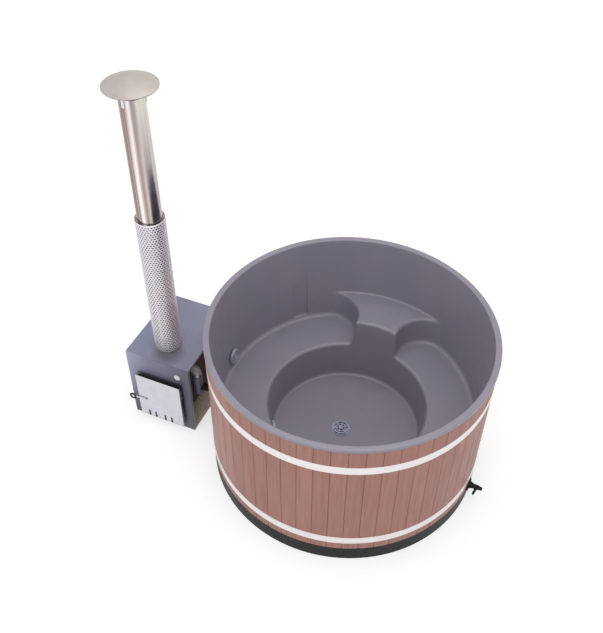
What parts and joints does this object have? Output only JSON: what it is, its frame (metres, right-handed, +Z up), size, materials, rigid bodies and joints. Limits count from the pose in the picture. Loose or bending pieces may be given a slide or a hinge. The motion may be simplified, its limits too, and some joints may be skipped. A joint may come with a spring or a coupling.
{
  "type": "wooden hot tub",
  "caption": "Round wooden hot tub with a grey moulded liner, steel hoops, an entry step and a drain valve, heated by an outside wood-fired heater with a stainless flue and rain cap.",
  "frame": {"origin": "middle of the tub's underside, at ground level", "axes": "+Z up along the tub's axis; the heater stands on the -X side with its door facing -Y, and the entry step is on the +Y side"},
  "size_m": [2.4584, 1.7996, 2.572],
  "materials": {
    "stave_wood": "oiled",
    "raw_wood": "sawn",
    "liner_shell": "satin",
    "bright_steel": "bright",
    "flue_steel": "mirror-bright stainless steel",
    "dull_steel": "plain",
    "casing_paint": "satin",
    "fitting_plastic": "satin",
    "black_plastic": "matte",
    "hose_rubber": "matte",
    "cast_black": "cast",
    "white_enamel": "enamel",
    "rope_seal": "woven"
  },
  "bodies": {
    "tub": {"base_board": "black_plastic", "plinth_ring": "black_plastic", "joists": "raw_wood", "floor_deck": "raw_wood", "bench_posts": "raw_wood", "liner": "liner_shell", "staves": "stave_wood", "pierced_staves": "stave_wood", "hoop_upper": "bright_steel", "hoop_lower": "bright_steel", "hoop_bolts": "dull_steel", "wall_fittings": "fitting_plastic", "inlet_grille": "fitting_plastic", "outlet_grille": "fitting_plastic", "fitting_gaskets": "black_plastic", "fitting_nuts": "black_plastic", "wall_union": "black_plastic", "under_bench_hose": "hose_rubber", "flow_hose": "hose_rubber", "return_tee": "fitting_plastic", "return_hose": "hose_rubber", "hose_clamps": "dull_steel", "drain_flange": "fitting_plastic", "drain_cover": "fitting_plastic", "drain_pipe": "black_plastic", "valve_gasket": "black_plastic", "valve_flange": "black_plastic", "valve_body": "black_plastic", "hose_tail": "black_plastic", "heater_feet": "black_plastic", "casing_floor": "casing_paint", "casing_front": "casing_paint", "casing_left": "casing_paint", "casing_back": "casing_paint", "casing_top": "casing_paint", "front_disc": "white_enamel", "boiler_rails": "dull_steel", "firebox": "dull_steel", "water_jacket": "dull_steel", "boiler_ports": "bright_steel", "grate": "cast_black", "door_frame": "casing_paint", "hinge_brackets": "casing_paint", "hinge_pins": "bright_steel", "flue_pipe": "flue_steel", "flue_guard": "flue_steel", "guard_spacers": "dull_steel", "rain_cap": "bright_steel", "cap_straps": "bright_steel"},
    "door": {"door_plate": "cast_black", "door_seal": "rope_seal", "shield_spacers": "dull_steel", "door_shield": "bright_steel"},
    "door_latch": {"latch_spindle": "bright_steel", "latch_bar": "bright_steel", "latch_grip": "black_plastic", "latch_cam": "dull_steel"},
    "valve_handle": {"valve_lever": "black_plastic", "valve_stem": "dull_steel", "valve_ball": "bright_steel"}
  },
  "joints": [
    {"name": "door_hinge", "type": "hinge", "parent": "tub", "child": "door", "pos_m": [-1.071, -0.334, 0.24], "axis": [0, 0, 1], "range_deg": [0, 95]},
    {"name": "latch_turn", "type": "hinge", "parent": "door", "child": "door_latch", "pos_m": [-1.344, -0.362, 0.222], "axis": [0, 1, 0], "range_deg": [0, 80]},
    {"name": "drain_valve_turn", "type": "hinge", "parent": "tub", "child": "valve_handle", "pos_m": [0.94377, -0.06474, 0.1], "axis": [-0.0461, -0.9989, 0], "range_deg": [0, 90]}
  ]
}
